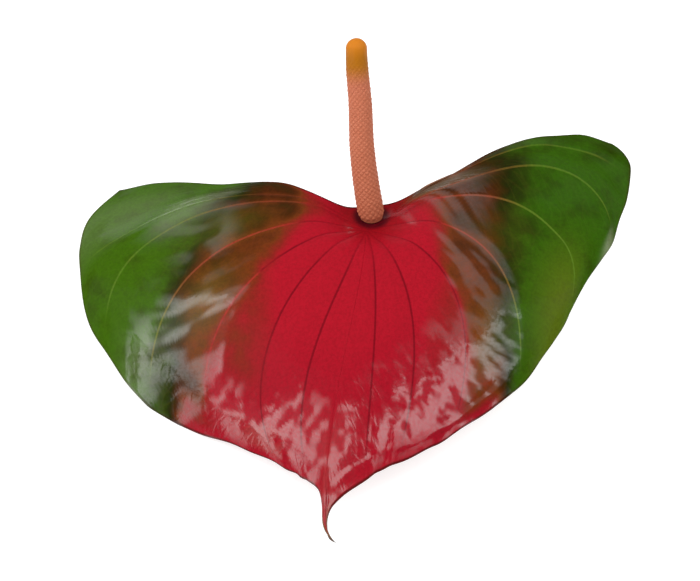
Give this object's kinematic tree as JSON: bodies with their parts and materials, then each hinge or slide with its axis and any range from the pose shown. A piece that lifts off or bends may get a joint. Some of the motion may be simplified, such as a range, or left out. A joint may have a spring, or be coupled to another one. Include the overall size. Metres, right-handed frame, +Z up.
{
  "type": "cut anthurium flower",
  "caption": "Cut anthurium flower lying face up: a waxy heart-shaped spathe with an upright spadix and a short stalk under it.",
  "frame": {"origin": "on the surface the flower lies on, under the centre of its bounding box", "axes": "+Z up from the surface, -Y towards the pointed tip of the heart, +X towards the raised right lobe"},
  "size_m": [0.1788, 0.1432, 0.0849],
  "materials": {
    "spathe": "waxy leaf tissue, red in the middle, brown then green towards the lobes",
    "spadix": "salmon florets with a smooth orange-yellow tip",
    "stalk": "smooth green stalk, reddish near the flower, pale at the cut"
  },
  "bodies": {
    "root": {"spathe": "spathe", "spadix": "spadix", "peduncle": "stalk"}
  },
  "joints": []
}
